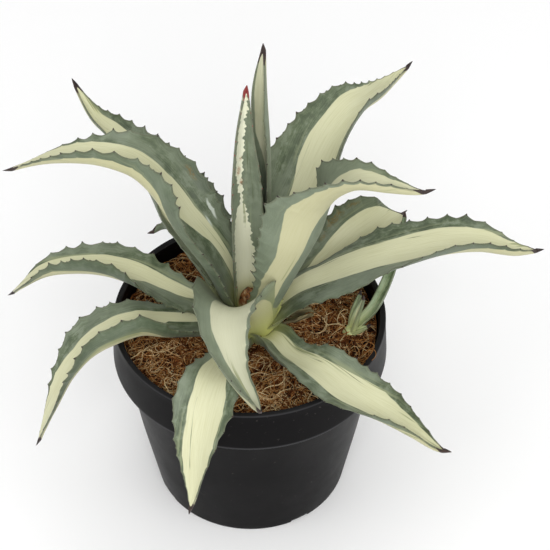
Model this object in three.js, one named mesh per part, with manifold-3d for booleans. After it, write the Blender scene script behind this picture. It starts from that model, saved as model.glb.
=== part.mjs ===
// A variegated agave in a black nursery pot. Millimetres, +Z up, the viewer stands at -Y.
// The origin is the centre of the pot's underside.
import * as THREE from "three";
import { mergeVertices } from "three/addons/utils/BufferGeometryUtils.js";
import Module from "manifold-3d";

const wasm = await Module();
wasm.setup();

// Driving dimensions.
const clearance = 0.3; // between pieces that touch
const potHeight = 154;
const potRimRadius = 95;
const potBaseRadius = 69;
const potWall = 2;
const potFloor = 2.5;
const potSegments = 48;
const bodyTopRadius = 88.8; // of the tapered body under the collar
const bodyBulge = 1; // at its middle height, beyond a straight taper
const bodyMiddle = 60;
const collarDepth = 33; // from the lip down to the step
const collarFlare = 1.6; // of its lower edge beyond the rim
const lipWidth = 3.6;
const drainSlots = { count: 4, firstAngle: -59, width: 14, height: 2.5, depth: 7 };
const coirHeight = 140; // of the filling at the wall
const coirMound = 5; // more at the plant
const coirRelief = 1.5; // of its lumps
const coirGap = 0.6; // to the pot's wall
const coirSegments = 36;
const stemFoot = 112; // height at which the buried stem ends
const stemProfile = [[8, stemFoot], [13, 124], [16, 140], [15, 150], [12, 160], [8, 170], [4, 177]];
const toothPitch = 12;
const toothHeight = 2.4;
const spineLength = 7;
const spineRadius = 1.2;
const marginThickness = 1;
const toothPeak = 0.5; // place of a tooth's point in its step
const toothSteps = [0.3, toothPeak, 0.7]; // with its two feet
const innerColumns = [0.55, 0, -0.55]; // places across the half-widths, left to right

// Each leaf: the direction that it grows in (0 is +X, -90 is toward the viewer), its greatest width, how wide
// its neck is beside that and where along it the widest place lies, how fast it tapers from there, and its
// midrib, as points of [distance out, height], with the distance to the left where it strays sideways.
// At even steps from foot to tip follow its thickness at the midrib, the angle at which its halves leave the
// midrib, and how much further the left and the right half curl up to their margins, in degrees.
const leaves = [
  {
    name: "leaf_spear",
    heading: 68,
    width: 32,
    neck: 0.8,
    widest: 0.43,
    taper: 1.9,
    thickness: [6, 4, 3, 2.4],
    midrib: [[3, 168], [11, 192], [18, 222], [23, 259], [25, 305], [24, 345], [22, 380, -2]],
    crease: [20, 26, 32, 34, 36],
    left: [33, 31, 39, 46, 2],
    right: [34, 26, 23, 28, 16],
  },
  {
    name: "leaf_inner",
    heading: 112,
    width: 28,
    neck: 0.95,
    widest: 0.42,
    taper: 2,
    thickness: [6, 4, 3, 2.4],
    midrib: [[4, 166], [6, 196], [6, 230, 1], [7, 268, 1], [6, 315, 1], [0, 362]],
    crease: [12, 12, 14, 24, 30],
    left: [27, 25, 26, 17, 7],
    right: [29, 25, 25, 31, 22],
  },
  {
    name: "leaf_arching_right",
    heading: -45,
    width: 71,
    neck: 0.35,
    widest: 0.57,
    taper: 0.75,
    thickness: [8, 5, 3.4, 2.2],
    midrib: [
      [8, 158], [22, 192, 6], [36, 235, 16], [42, 268, 28],
      [61, 291, 38], [84, 297, 47], [98, 298, 56], [108, 302, 63],
    ],
    crease: [14, 14, 12, 12, 20],
    left: [0, -3, 1, 6, 19, 39, 46, 30, 5],
    right: [30, 28, 27, 24, 28, 19, 22, 38, 50],
  },
  {
    name: "leaf_back_right",
    heading: 52,
    width: 66,
    neck: 0.62,
    widest: 0.48,
    taper: 0.9,
    thickness: [8, 5, 3.4, 2.2],
    midrib: [
      [8, 160], [25, 185], [43, 207],
      [66, 231], [89, 253, 2], [112, 265],
      [135, 264, -3], [162, 258], [188, 260],
    ],
    crease: [12, 12, 12, 14, 24],
    left: [28, 24, 22, 23, 26, 22, 11, 5, 0],
    right: [30, 24, 22, 22, 25, 28, 32, 35, 28],
  },
  {
    name: "leaf_arching_left",
    heading: 165,
    width: 60,
    neck: 0.6,
    widest: 0.48,
    taper: 1,
    thickness: [8, 5, 3.4, 2.2],
    midrib: [
      [8, 158], [24, 198], [44, 229],
      [62, 250, -6], [79, 266, -6], [96, 276],
      [116, 276, 2], [143, 267, 2], [173, 251, 3],
    ],
    crease: [12, 12, 12, 16, 20],
    left: [17, 14, 19, 23, 41, 50, 35, 25, 5],
    right: [26, 21, 20, 26, 25, 22, 2, -12, -30],
  },
  {
    name: "leaf_back_left",
    heading: 135,
    width: 59,
    neck: 0.42,
    widest: 0.42,
    taper: 0.9,
    thickness: [8, 5, 3.4, 2.2],
    midrib: [
      [10, 152], [26, 166], [41, 183],
      [59, 200], [82, 216], [103, 231],
      [130, 239], [155, 242], [185, 255, -6],
    ],
    crease: [12, 12, 12, 14, 20],
    left: [29, 24, 21, 21, 32, 21, 19, 27, 22],
    right: [30, 19, 14, 17, 38],
  },
  {
    name: "leaf_front_folded",
    heading: -90,
    width: 70,
    neck: 0.58,
    widest: 0.32,
    taper: 0.65,
    thickness: [8, 5, 3.4, 2.2],
    midrib: [
      [9, 148, 4], [19, 177, -3], [31, 191, -13], [51, 192, -16],
      [77, 181, -10], [101, 177, 2], [121, 188, 9],
    ],
    crease: [12, 12, 14, 14, 20],
    left: [25, 18, 15, 25, 22, 19, 26, 22, 5],
    right: [31, 28, 25, 21, 20, 27, 40, 33, 15],
    spine: 3,
  },
  {
    name: "leaf_behind_right",
    heading: 38,
    width: 60,
    neck: 0.4,
    widest: 0.75,
    taper: 1.6,
    thickness: [8, 5, 3.4, 2.2],
    midrib: [
      [11, 146], [31, 146], [53, 152, -3], [75, 161, -4],
      [96, 171, -5], [117, 176, -6], [142, 173, -2],
    ],
    crease: [12, 12, 12, 14, 20],
    left: [28, 19, 11, 7, 4, 22, 45, 41, -15],
    right: [30, 28, 27, 25, 20],
  },
  {
    name: "leaf_right",
    heading: 8,
    width: 55,
    neck: 0.68,
    widest: 0.43,
    taper: 2,
    thickness: [8, 5, 3.4, 2.2],
    midrib: [
      [11, 148], [33, 172], [55, 181, 2],
      [80, 191, 2], [106, 197, 2], [132, 201, 2],
      [158, 200], [184, 193, -3], [208, 187, 2],
    ],
    crease: [12, 12, 12, 16, 20],
    left: [4, -22, -32, -20, -8, -8, 11, 16, 16],
    right: [11, -2, -2, 0, 14, 20, 28, 37, 38],
  },
  {
    name: "leaf_left",
    heading: 168,
    width: 42,
    neck: 0.45,
    widest: 0.54,
    taper: 1.5,
    thickness: [8, 5, 3.4, 2.2],
    midrib: [
      [11, 150], [42, 160, 2], [60, 166],
      [81, 173, -3], [104, 176, -3], [127, 172, -2],
      [147, 165], [164, 153, 4], [177, 137, 2],
    ],
    crease: [12, 12, 12, 16, 20],
    left: [17, 1, -6, 14, 37, 42, 38, 6, -15],
    right: [28, 18, 9, -3, -5, 0, 2, -5, -30],
  },
  {
    name: "leaf_small_back",
    heading: 122,
    width: 26,
    neck: 0.7,
    widest: 0.4,
    taper: 3,
    thickness: [6, 4, 3, 2.4],
    midrib: [[11, 144], [35, 154], [60, 162], [82, 166, 2], [97, 166, 10], [102, 161, 24]],
    crease: [12, 12, 14, 16, 20],
    left: [30, 20, 20, 20, 14],
    right: [30, 20, 20, 20, 14],
    spine: 4,
  },
  {
    name: "leaf_front_low",
    heading: -107,
    width: 43,
    neck: 0.4,
    widest: 0.57,
    taper: 1,
    thickness: [8, 5, 3.4, 2.2],
    midrib: [
      [11, 142], [38, 156], [61, 165],
      [82, 170], [101, 162], [116, 145],
      [123, 125], [129, 107], [133, 89, -2],
    ],
    crease: [12, 12, 10, 10, 16],
    left: [30, 13, 4, 23, 30],
    right: [24, -8, 4, 2, 8],
  },
  {
    name: "leaf_left_low",
    heading: 197,
    width: 50,
    neck: 0.5,
    widest: 0.45,
    taper: 1.3,
    thickness: [8, 5, 3.4, 2.2],
    midrib: [
      [11, 144], [32, 153], [47, 157], [65, 162],
      [80, 167], [98, 164], [115, 153, -2], [129, 135, -2],
      [142, 113, 2], [153, 92, 5], [160, 73, 5],
    ],
    crease: [12, 12, 12, 14, 20],
    left: [12, 12, 22, 46, 43, 22, 14, 9, -5],
    right: [22, 4, -8, -9, -6, 8, 3, -12, -20],
  },
  {
    name: "leaf_front_right",
    heading: -47,
    width: 43,
    neck: 0.64,
    widest: 0.56,
    taper: 1.2,
    thickness: [8, 5, 3.4, 2.2],
    midrib: [
      [11, 142], [27, 152, -2], [48, 154, -6],
      [75, 160, -5], [105, 160, -4], [134, 160],
      [159, 163], [179, 165], [192, 169, 2],
    ],
    crease: [12, 12, 10, 12, 16],
    left: [6, -8, -10, 8, 7, 14, 24, 30, 27],
    right: [27, 25, 20, 4, 2, 14, 28, 39, 45],
  },
  {
    name: "leaf_back_low",
    heading: 78,
    width: 48,
    neck: 0.6,
    widest: 0.5,
    taper: 1.8,
    thickness: [8, 5, 3.4, 2.2],
    midrib: [
      [11, 144], [32, 155], [56, 162], [80, 165],
      [102, 160], [122, 146], [138, 126], [150, 104],
    ],
    crease: [12, 12, 12, 12, 18],
    left: [30, 16, 14, 14, 10],
    right: [30, 16, 14, 14, 10],
  },
  {
    name: "leaf_old_stub",
    heading: 14,
    width: 20,
    neck: 0.9,
    widest: 0.4,
    taper: 3,
    thickness: [6, 5, 4, 3],
    midrib: [[11, 142], [27, 144], [38, 145], [50, 143]],
    crease: [8, 8, 10, 14, 20],
    left: [30, 20, 24, 30, 30],
    right: [30, 20, 24, 30, 30],
    spine: 3,
    tooth: 0,
    colour: 0x6d6547,
  },
];

// The young plant: where its foot stands, and its blades, each as points of [x, y, z].
const offsetBlade = {
  neck: 0.9,
  widest: 0.3,
  taper: 2,
  spine: 4,
  pitch: 12,
  tooth: 0,
  thickness: [3.5, 2.6, 2],
  crease: [20, 20, 20],
  left: [20, 20, 20],
  right: [20, 20, 20],
};
const offsetFoot = { x: 70, y: -5, z: 141, radius: 6 };
const offsetBlades = [
  {
    width: 10,
    points: [[70, -5, 142], [79, 0, 149], [88, 6, 157], [98, 25, 167], [105, 42, 183], [109, 54, 201]],
  },
  { width: 8, points: [[71, -5, 142], [74, -5, 156], [77, -4, 167], [79, -3, 176]] },
  { width: 6, points: [[70, -6, 142], [77, -7, 146], [85, -7, 151]] },
  { width: 6, points: [[71, -4, 142], [73, 3, 154], [78, 11, 167]] },
];

const degrees = Math.PI / 180;

// Mesh helpers.
function solidOf(geometry) {
  geometry.deleteAttribute("normal");
  geometry.deleteAttribute("uv");
  const merged = mergeVertices(geometry, 1e-4);
  const vertProperties = merged.attributes.position.array;
  const triVerts = new Uint32Array(merged.index.array);
  return new wasm.Manifold(new wasm.Mesh({ numProp: 3, vertProperties, triVerts }));
}

function geometryOf(solid) {
  const mesh = solid.getMesh();
  const geometry = new THREE.BufferGeometry();
  geometry.setAttribute("position", new THREE.BufferAttribute(mesh.vertProperties, 3));
  geometry.setIndex(new THREE.BufferAttribute(mesh.triVerts, 1));
  geometry.computeVertexNormals();
  return geometry;
}

function largestBody(solid) {
  return solid.decompose().reduce((a, b) => (b.volume() > a.volume() ? b : a));
}

// A closed profile of [radius, height] points turned about the vertical axis.
function turned(profile, segments) {
  const outline = profile.map(([r, z]) => new THREE.Vector2(r, z));
  return new THREE.LatheGeometry(outline, segments).rotateX(Math.PI / 2);
}

function smoothCurve(points) {
  return new THREE.CatmullRomCurve3(points, false, "catmullrom", 0.5);
}

// The value at fraction s of a list of values at even steps.
function along(values, s) {
  const place = Math.min(s, 1) * (values.length - 1);
  const i = Math.min(Math.floor(place), values.length - 2);
  return values[i] + (values[i + 1] - values[i]) * (place - i);
}

// A blade's half-width at fraction s: a neck that swells to the widest place, then a long taper.
function halfWidthAt(blade, s) {
  const full = blade.width / 2;
  if (s < blade.widest) {
    const rise = (1 - Math.cos((Math.PI * s) / blade.widest)) / 2;
    return full * (blade.neck + (1 - blade.neck) * rise);
  }
  const t = (s - blade.widest) / (1 - blade.widest);
  return spineRadius + (full - spineRadius) * (1 - t ** blade.taper);
}

// A blade's closed skin about a curve, with side as the direction of its left margin at the foot.
// Its columns run along it: three above and three below with one step to a tooth, and two on each margin
// with three steps to a tooth, so that each tooth is a point. A spine closes it at the tip.
// grow makes it that much bigger all round, as the cutter for its neighbours.
function bladeGeometry(blade, curve, side, grow) {
  const length = curve.getLength();
  const bladeEnd = 1 - blade.spine / length;
  const steps = Math.round((length - blade.spine) / blade.pitch);
  const positions = [];
  const faces = [];

  // A point at fraction s of the blade and v of the half-width, left being positive, on either skin.
  function skinPoint(s, v, upper, extraWidth) {
    const tangent = curve.getTangentAt(s * bladeEnd);
    const across = side.clone().addScaledVector(tangent, -side.dot(tangent)).normalize();
    const normal = new THREE.Vector3().crossVectors(tangent, across);
    const half = halfWidthAt(blade, s) + extraWidth + grow;
    const reach = Math.abs(v);
    const curl = along(v > 0 ? blade.left : blade.right, s) * degrees * reach;
    const lift = along(blade.crease, s) * degrees + curl;
    const slope = lift + curl;
    const depth = marginThickness + (along(blade.thickness, s) - marginThickness) * (1 - reach * reach);
    const rise = upper ? grow : -depth - grow;
    const x = Math.sign(v) * (half * reach * Math.cos(lift) - rise * Math.sin(slope));
    const y = half * reach * Math.sin(lift) + rise * Math.cos(slope);
    return curve.getPointAt(s * bladeEnd).addScaledVector(across, x).addScaledVector(normal, y);
  }

  function add(point) {
    positions.push(point.x, point.y, point.z);
    return positions.length / 3 - 1;
  }

  function innerColumn(v, upper) {
    return Array.from({ length: steps + 1 }, (_, i) => add(skinPoint(i / steps, v, upper, 0)));
  }

  function marginColumn(v, upper) {
    const column = [add(skinPoint(0, v, upper, 0))];
    for (let i = 0; i < steps; i++) {
      for (const part of toothSteps) {
        const s = (i + part) / steps;
        const point = part === toothPeak ? blade.tooth * Math.min(1, 5 * s, 6 * (1 - s)) : 0;
        column.push(add(skinPoint(s, v, upper, point)));
      }
    }
    column.push(add(skinPoint(1, v, upper, 0)));
    return column;
  }

  function skinRow(upper) {
    const inner = innerColumns.map((v) => innerColumn(v, upper));
    return [marginColumn(1, upper), ...inner, marginColumn(-1, upper)];
  }

  const upperRow = skinRow(true);
  const lowerRow = skinRow(false);
  const quad = (a, b, c, d) => faces.push(a, b, c, a, c, d);

  // The strip between the column beside a margin and that margin, with more steps on the margin's side.
  function marginStrip(column, edge, reversed) {
    const tri = (a, b, c) => (reversed ? faces.push(a, c, b) : faces.push(a, b, c));
    for (let i = 0; i < steps; i++) {
      const j = 3 * i;
      tri(column[i], edge[j + 1], edge[j]);
      tri(column[i], edge[j + 2], edge[j + 1]);
      tri(column[i], column[i + 1], edge[j + 2]);
      tri(column[i + 1], edge[j + 3], edge[j + 2]);
    }
    tri(column[steps], edge[3 * steps + 1], edge[3 * steps]);
  }

  for (let i = 0; i < steps; i++) {
    for (const k of [1, 2]) {
      quad(upperRow[k][i], upperRow[k + 1][i], upperRow[k + 1][i + 1], upperRow[k][i + 1]);
      quad(lowerRow[k + 1][i], lowerRow[k][i], lowerRow[k][i + 1], lowerRow[k + 1][i + 1]);
    }
  }
  marginStrip(upperRow[1], upperRow[0], false);
  marginStrip(upperRow[3], upperRow[4], true);
  marginStrip(lowerRow[1], lowerRow[0], true);
  marginStrip(lowerRow[3], lowerRow[4], false);
  for (let j = 0; j < upperRow[0].length - 1; j++) {
    quad(upperRow[0][j], upperRow[0][j + 1], lowerRow[0][j + 1], lowerRow[0][j]);
    quad(lowerRow[4][j], lowerRow[4][j + 1], upperRow[4][j + 1], upperRow[4][j]);
  }
  for (let k = 0; k < 4; k++) {
    quad(upperRow[k][0], lowerRow[k][0], lowerRow[k + 1][0], upperRow[k + 1][0]);
  }
  const tip = add(curve.getPointAt(1));
  const lowerEnd = lowerRow.map((column) => column.at(-1)).reverse();
  const ring = [...upperRow.map((column) => column.at(-1)), ...lowerEnd];
  ring.forEach((corner, k) => faces.push(corner, ring[(k + 1) % ring.length], tip));

  const geometry = new THREE.BufferGeometry();
  geometry.setAttribute("position", new THREE.Float32BufferAttribute(positions, 3));
  return geometry.setIndex(faces);
}

function leafSolid(leaf, grow = 0) {
  const heading = leaf.heading * degrees;
  const out = new THREE.Vector3(Math.cos(heading), Math.sin(heading), 0);
  const side = new THREE.Vector3(-Math.sin(heading), Math.cos(heading), 0);
  const points = leaf.midrib.map(([distance, height, left = 0]) =>
    out.clone().multiplyScalar(distance).addScaledVector(side, left).setZ(height),
  );
  const curve = smoothCurve(points);
  const blade = { spine: spineLength, pitch: toothPitch, tooth: toothHeight, ...leaf };
  return solidOf(bladeGeometry(blade, curve, side, grow));
}

// The offset's blades, joined at a round foot.
function offsetSolid(grow = 0) {
  const foot = new THREE.SphereGeometry(offsetFoot.radius + grow, 10, 8).rotateX(Math.PI / 2);
  foot.translate(offsetFoot.x, offsetFoot.y, offsetFoot.z);
  let solid = solidOf(foot);
  for (const { width, points } of offsetBlades) {
    const curve = smoothCurve(points.map((p) => new THREE.Vector3(...p)));
    const reach = curve.getPointAt(1).sub(curve.getPointAt(0));
    const side = new THREE.Vector3(-reach.y, reach.x, 0).normalize();
    const blade = { ...offsetBlade, width };
    solid = solid.add(solidOf(bladeGeometry(blade, curve, side, grow)));
  }
  return solid;
}

// The radius of the tapered body at a height.
function bodyRadius(z) {
  return potBaseRadius + ((bodyTopRadius - potBaseRadius) * z) / (potHeight - collarDepth);
}

// The pot, as one turned wall with its floor, and slots through its base edge.
function potSolid() {
  const step = potHeight - collarDepth;
  const collarFoot = potRimRadius + collarFlare;
  const inner = potRimRadius - lipWidth;
  const profile = [
    [0, 0],
    [potBaseRadius - 1.5, 0],
    [potBaseRadius, 1.5],
    [bodyRadius(bodyMiddle) + bodyBulge, bodyMiddle],
    [bodyTopRadius, step],
    [collarFoot - 0.8, step],
    [collarFoot, step + 0.8],
    [collarFoot, step + 3],
    [potRimRadius + 0.2, potHeight - 5],
    [potRimRadius + 0.2, potHeight - 0.8],
    [potRimRadius - 0.8, potHeight],
    [inner, potHeight],
    [inner - 0.6, potHeight - 0.8],
    [inner - 1, potHeight - 5],
    [inner - 1.4, step + 3],
    [bodyTopRadius - potWall, step - 3],
    [bodyRadius(bodyMiddle) + bodyBulge - potWall, bodyMiddle],
    [potBaseRadius - potWall, potFloor],
    [0, potFloor],
  ];
  let solid = solidOf(turned(profile, potSegments));
  for (let i = 0; i < drainSlots.count; i++) {
    const angle = (drainSlots.firstAngle + (360 / drainSlots.count) * i) * degrees;
    const slot = new THREE.BoxGeometry(2 * drainSlots.depth, drainSlots.width, 2 * drainSlots.height);
    slot.translate(potBaseRadius, 0, 0).rotateZ(angle);
    solid = solid.subtract(solidOf(slot));
  }
  return solid;
}

// The filling: a turned body inside the pot whose top is raised and lowered into lumps.
function coirSolid() {
  const step = potHeight - collarDepth;
  const inset = potWall + coirGap;
  const edge = potRimRadius - lipWidth - 1.4 - coirGap;
  const rings = [0.86, 0.74, 0.62, 0.5, 0.35, 0.2];
  const profile = [
    [0, potFloor + clearance],
    [potBaseRadius - inset, potFloor + clearance],
    [bodyRadius(bodyMiddle) - inset, bodyMiddle],
    [bodyTopRadius - inset, step - 3],
    [edge, step + 4],
    [edge, coirHeight],
    ...rings.map((part) => [edge * part, coirHeight + coirMound * (1 - part)]),
    [0, coirHeight + coirMound],
  ];
  const geometry = turned(profile, coirSegments);
  const position = geometry.attributes.position;
  for (let i = 0; i < position.count; i++) {
    const [x, y, z] = [position.getX(i), position.getY(i), position.getZ(i)];
    const fade = Math.min(1, (edge - Math.hypot(x, y)) / 12);
    if (z > coirHeight + 0.1) position.setZ(i, z + coirRelief * lumps(x, y) * fade);
  }
  return solidOf(geometry);
}

// Uneven ground: crossed waves of three lengths, between about -1 and 1.
function lumps(x, y) {
  const long = Math.sin(x / 11 + 1.3) * Math.cos(y / 13 - 0.4);
  const middle = Math.sin((x + y) / 7) * Math.cos((x - y) / 8.5 + 2);
  return 0.6 * long + 0.4 * middle;
}

const agave = new THREE.Group();
const leafColour = 0x8d9c86;

function addPiece(name, solid, colour, roughness) {
  const material = new THREE.MeshStandardMaterial({ color: colour, roughness, metalness: 0 });
  const mesh = new THREE.Mesh(geometryOf(solid), material);
  mesh.name = name;
  agave.add(mesh);
}

// The stem is whole. Each leaf is cut by it and by the leaves inside it, and the filling by all of them.
const grownProfile = stemProfile.map(([r, z]) => [r + clearance, z]);
const stemCapped = (profile, low, high) => [[0, low], ...profile, [0, high]];
const stemTop = stemProfile.at(-1)[1] + 2;
const stem = solidOf(turned(stemCapped(stemProfile, stemFoot, stemTop), 16));
const cutters = [solidOf(turned(stemCapped(grownProfile, stemFoot - clearance, stemTop + clearance), 16))];
addPiece("pot", potSolid(), 0x232124, 0.45);
addPiece("stem", stem, 0xb7b98c, 0.7);
for (const leaf of leaves) {
  let solid = leafSolid(leaf);
  for (const cutter of cutters) solid = solid.subtract(cutter);
  addPiece(leaf.name, largestBody(solid), leaf.colour ?? leafColour, 0.6);
  cutters.push(leafSolid(leaf, clearance));
}
addPiece("offset_plant", offsetSolid(), 0x7f9470, 0.6);
cutters.push(offsetSolid(clearance));
let coir = coirSolid();
for (const cutter of cutters) coir = coir.subtract(cutter);
addPiece("coir_substrate", largestBody(coir), 0x7a4a2c, 0.95);

export default agave;
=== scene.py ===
import bpy
import math
import numpy as np
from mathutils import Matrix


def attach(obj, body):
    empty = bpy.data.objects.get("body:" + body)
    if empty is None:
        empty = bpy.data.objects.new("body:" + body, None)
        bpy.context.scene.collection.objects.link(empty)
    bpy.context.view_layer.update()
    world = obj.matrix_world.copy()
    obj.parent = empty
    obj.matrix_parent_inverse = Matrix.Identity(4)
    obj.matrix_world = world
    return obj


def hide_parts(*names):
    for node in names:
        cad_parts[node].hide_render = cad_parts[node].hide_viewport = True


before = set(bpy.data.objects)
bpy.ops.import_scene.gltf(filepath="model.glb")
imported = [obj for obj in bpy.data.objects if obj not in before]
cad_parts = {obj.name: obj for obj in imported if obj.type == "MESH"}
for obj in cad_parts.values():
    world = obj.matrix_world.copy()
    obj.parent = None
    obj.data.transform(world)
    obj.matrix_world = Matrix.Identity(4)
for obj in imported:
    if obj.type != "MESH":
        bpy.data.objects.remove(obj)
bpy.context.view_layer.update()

scene = bpy.context.scene


# sRGB hex to the linear colour that shaders take.
def linear(hexColour):
    values = np.array([int(hexColour[i:i + 2], 16) for i in (1, 3, 5)]) / 255
    return (*np.where(values <= 0.04045, values / 12.92, ((values + 0.055) / 1.055) ** 2.4).tolist(), 1)


# Adds a node and returns its first useful output. Settings are its properties, a ramp's stops or its inputs; an
# input takes a number, a hex colour or another node's output, which is linked.
def addNode(tree, kind, settings, output=0):
    node = tree.nodes.new("ShaderNode" + kind)
    for key, value in settings.items():
        if key == "stops":
            while len(node.color_ramp.elements) < len(value):
                node.color_ramp.elements.new(0.5)
            for element, (place, colour) in zip(node.color_ramp.elements, value):
                element.position = place
                element.color = linear(colour)
        elif isinstance(key, str) and hasattr(node, key):
            setattr(node, key, value)
        elif isinstance(value, bpy.types.NodeSocket):
            tree.links.new(value, node.inputs[key])
        else:
            node.inputs[key].default_value = linear(value) if isinstance(value, str) else value
    return node.outputs[output] if node.outputs else node


# A material. The function paint adds its nodes by calling add, and returns its shader.
def addMaterial(name, paint, *given):
    material = bpy.data.materials.new(name)
    material.use_nodes = True
    material.node_tree.nodes.clear()

    def add(*node):
        return addNode(material.node_tree, *node)

    add("OutputMaterial", {"Surface": paint(add, *given)})
    return material


# A mesh object from points in millimetres and faces, with one material and named values at its points.
# If the signed volume under the faces is negative they face inwards, and are all turned round.
def addPiece(name, shape, material, slot, *replaced):
    points, faces, values = shape
    corners = [np.array([[f[0], f[i], f[i + 1]] for f in part.tolist() for i in range(1, part.shape[1] - 1)])
               for part in faces]
    a, b, c = (points[np.vstack(corners)[:, i]] for i in range(3))
    inward = np.einsum("ij,ij->i", a, np.cross(b, c)).sum() < 0
    listed = [f for part in faces for f in (part[:, ::-1] if inward else part).tolist()]
    mesh = bpy.data.meshes.new(name)
    mesh.from_pydata((points / 1000).tolist(), [], listed)
    for key, value in values.items():
        kind, field = ("FLOAT_VECTOR", "vector") if value.ndim == 2 else ("FLOAT", "value")
        mesh.attributes.new(key, kind, "POINT").data.foreach_set(field, value.astype(np.float32).ravel())
    mesh.polygons.foreach_set("use_smooth", np.ones(len(listed), bool))
    mesh.materials.append(material)
    mesh.validate()
    mesh.update()
    piece = bpy.data.objects.new(name, mesh)
    scene.collection.objects.link(piece)
    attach(piece, "root")
    if replaced:
        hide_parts(*replaced)
    return piece


# The four-cornered faces of a grid of rows, each row a closed ring of columns.
def ringQuads(rows, columns):
    i, j = np.meshgrid(np.arange(rows - 1), np.arange(columns), indexing="ij")
    k = (j + 1) % columns
    quads = np.stack([i * columns + j, i * columns + k, (i + 1) * columns + k, (i + 1) * columns + j], -1)
    return quads.reshape(-1, 4)


# The faces of such a grid, and a fan to one more point at each end.
def ringFaces(rows, columns):
    ring = np.arange(columns)
    after = (ring + 1) % columns
    last = (rows - 1) * columns
    first = np.stack([np.full(columns, rows * columns), after, ring], -1)
    end = np.stack([np.full(columns, rows * columns + 1), last + ring, last + after], -1)
    return [ringQuads(rows, columns), np.vstack([first, end])]


# Even angles round a circle.
def circle(count):
    return np.linspace(0, 2 * np.pi, count, endpoint=False)[None, :]


# Points at the given angles round the vertical axis.
def turned(radius, angle, z):
    return np.stack([radius * np.cos(angle), radius * np.sin(angle), z + 0 * angle], -1)


# Joins several (points, faces, values) into one.
def joined(parts):
    starts = np.cumsum([0] + [len(points) for points, _, _ in parts])
    quads = [faces[0] + start for (_, faces, _), start in zip(parts, starts)]
    fans = [faces[1] + start for (_, faces, _), start in zip(parts, starts)]
    values = {key: np.concatenate([part[2][key] for part in parts]) for key in parts[0][2]}
    return np.vstack([points for points, _, _ in parts]), [np.vstack(quads), np.vstack(fans)], values


# Eased step from 0 to 1 between low and high.
def eased(value, low, high):
    t = np.clip((value - low) / (high - low), 0, 1)
    return t * t * (3 - 2 * t)


# Uneven ground between -1 and 1: random values on a square lattice, eased from one to the next.
def unevenness(x, y, cell, seed):
    n = 64  # values to a side, after which the lattice repeats
    lattice = np.random.default_rng(seed).uniform(-1, 1, (n, n))
    i, j = np.floor(x / cell).astype(int), np.floor(y / cell).astype(int)
    u, v = eased(x / cell - i, 0, 1), eased(y / cell - j, 0, 1)
    near = lattice[i % n, j % n] * (1 - v) + lattice[i % n, (j + 1) % n] * v
    far = lattice[(i + 1) % n, j % n] * (1 - v) + lattice[(i + 1) % n, (j + 1) % n] * v
    return near * (1 - u) + far * u


# Points and directions of a smooth curve through the given points at shares of its length, and that length.
# Each stretch is a cubic whose slope at a point is half the step between that point's two neighbours.
def alongCurve(points, shares):
    p = np.array(points, float)
    p = np.vstack([2 * p[0] - p[1], p, 2 * p[-1] - p[-2]])

    def cubic(t):
        place = np.clip(t, 0, 1) * (len(p) - 3)
        i = np.minimum(place.astype(int), len(p) - 4)
        w = (place - i)[..., None]
        a, b, c, d = p[i], p[i + 1], p[i + 2], p[i + 3]
        square, cube = 2 * a - 5 * b + 4 * c - d, 3 * b - a - 3 * c + d
        return b + ((c - a) * w + square * w ** 2 + cube * w ** 3) / 2, c - a + 2 * square * w + 3 * cube * w ** 2

    even = np.linspace(0, 1, 2001)  # close enough to measure the length by
    steps = np.linalg.norm(np.diff(cubic(even)[0], axis=0), axis=1)
    lengths = np.concatenate([[0], np.cumsum(steps)])
    point, slope = cubic(np.interp(shares, lengths / lengths[-1], even))
    return point, slope / np.linalg.norm(slope, axis=-1, keepdims=True), lengths[-1]


# The value at share s of a list of values at even steps.
def along(values, s):
    return np.interp(s, np.linspace(0, 1, len(values)), values)


view = {
    "aim": (17.7, 0, 192.4),  # the point at the middle of the picture
    "distance": 1500,
    "elevation": 45,  # degrees above the horizon
    "lens": 143.15,  # on this sensor: 1.458 pixels to a millimetre at the aim
    "sensor": 36,
    "sight": 20,  # how far it sees, in metres
}


def addCamera(v):
    camera = bpy.data.objects.new("camera", bpy.data.cameras.new("camera"))
    camera.data.lens = v["lens"]
    camera.data.sensor_width = v["sensor"]
    camera.data.clip_end = v["sight"]
    lift = math.radians(v["elevation"])
    x, y, z = v["aim"]
    camera.location = (x / 1000, (y - v["distance"] * math.cos(lift)) / 1000,
                       (z + v["distance"] * math.sin(lift)) / 1000)
    camera.rotation_euler = (math.pi / 2 - lift, 0, 0)
    scene.collection.objects.link(camera)
    scene.camera = camera


addCamera(view)
print("camera set")


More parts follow.
